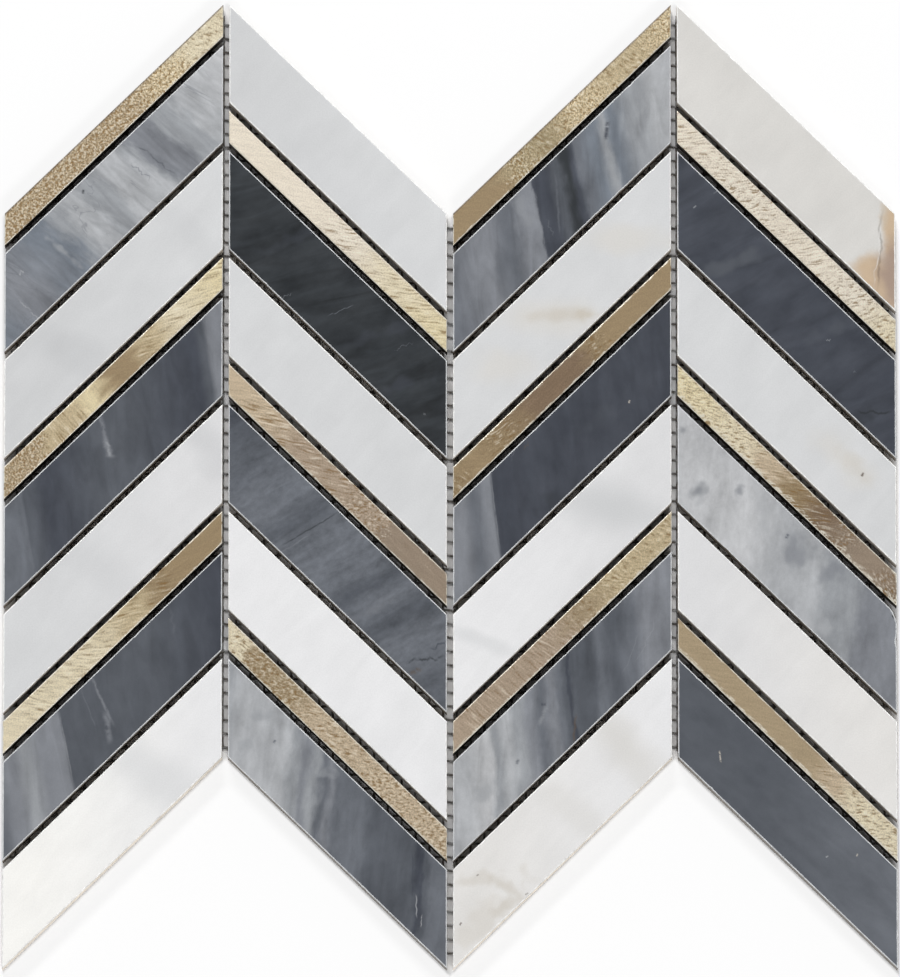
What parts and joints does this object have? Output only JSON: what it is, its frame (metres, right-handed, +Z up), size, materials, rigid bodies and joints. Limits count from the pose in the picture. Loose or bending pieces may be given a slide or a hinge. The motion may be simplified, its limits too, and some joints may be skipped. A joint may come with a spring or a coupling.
{
  "type": "chevron mosaic tile sheet",
  "caption": "Mesh-backed chevron mosaic tile sheet: grey and white marble chips and slim gold-toned metal strips in slanted columns with open grout joints.",
  "frame": {"origin": "under the middle of the sheet, on the underside of the mesh", "axes": "+X across the columns, +Y towards the chevron's crests, +Z up through the face"},
  "size_m": [0.298, 0.3244, 0.0086],
  "materials": {
    "gold_metal": "gold-toned, brushed and hammered",
    "grey_marble": "honed, dark slate to pale grey with soft streaks",
    "white_marble": "honed, cool white to ivory with faint clouds",
    "backing_mesh": "resin-coated glass-fibre strands"
  },
  "bodies": {
    "root": {"grey_marble_c1_r2": "grey_marble", "grey_marble_c1_r5": "grey_marble", "grey_marble_c1_r8": "grey_marble", "grey_marble_c2_r3": "grey_marble", "grey_marble_c2_r6": "grey_marble", "grey_marble_c2_r9": "grey_marble", "grey_marble_c3_r2": "grey_marble", "grey_marble_c3_r5": "grey_marble", "grey_marble_c3_r8": "grey_marble", "grey_marble_c4_r3": "grey_marble", "grey_marble_c4_r6": "grey_marble", "grey_marble_c4_r9": "grey_marble", "mesh_warp_strands": "backing_mesh", "mesh_weft_strands": "backing_mesh", "metal_strip_c1_r1": "gold_metal", "metal_strip_c1_r4": "gold_metal", "metal_strip_c1_r7": "gold_metal", "metal_strip_c2_r2": "gold_metal", "metal_strip_c2_r5": "gold_metal", "metal_strip_c2_r8": "gold_metal", "metal_strip_c3_r1": "gold_metal", "metal_strip_c3_r4": "gold_metal", "metal_strip_c3_r7": "gold_metal", "metal_strip_c4_r2": "gold_metal", "metal_strip_c4_r5": "gold_metal", "metal_strip_c4_r8": "gold_metal", "white_marble_c1_r3": "white_marble", "white_marble_c1_r6": "white_marble", "white_marble_c1_r9": "white_marble", "white_marble_c2_r1": "white_marble", "white_marble_c2_r4": "white_marble", "white_marble_c2_r7": "white_marble", "white_marble_c3_r3": "white_marble", "white_marble_c3_r6": "white_marble", "white_marble_c3_r9": "white_marble", "white_marble_c4_r1": "white_marble", "white_marble_c4_r4": "white_marble", "white_marble_c4_r7": "white_marble"}
  },
  "joints": []
}
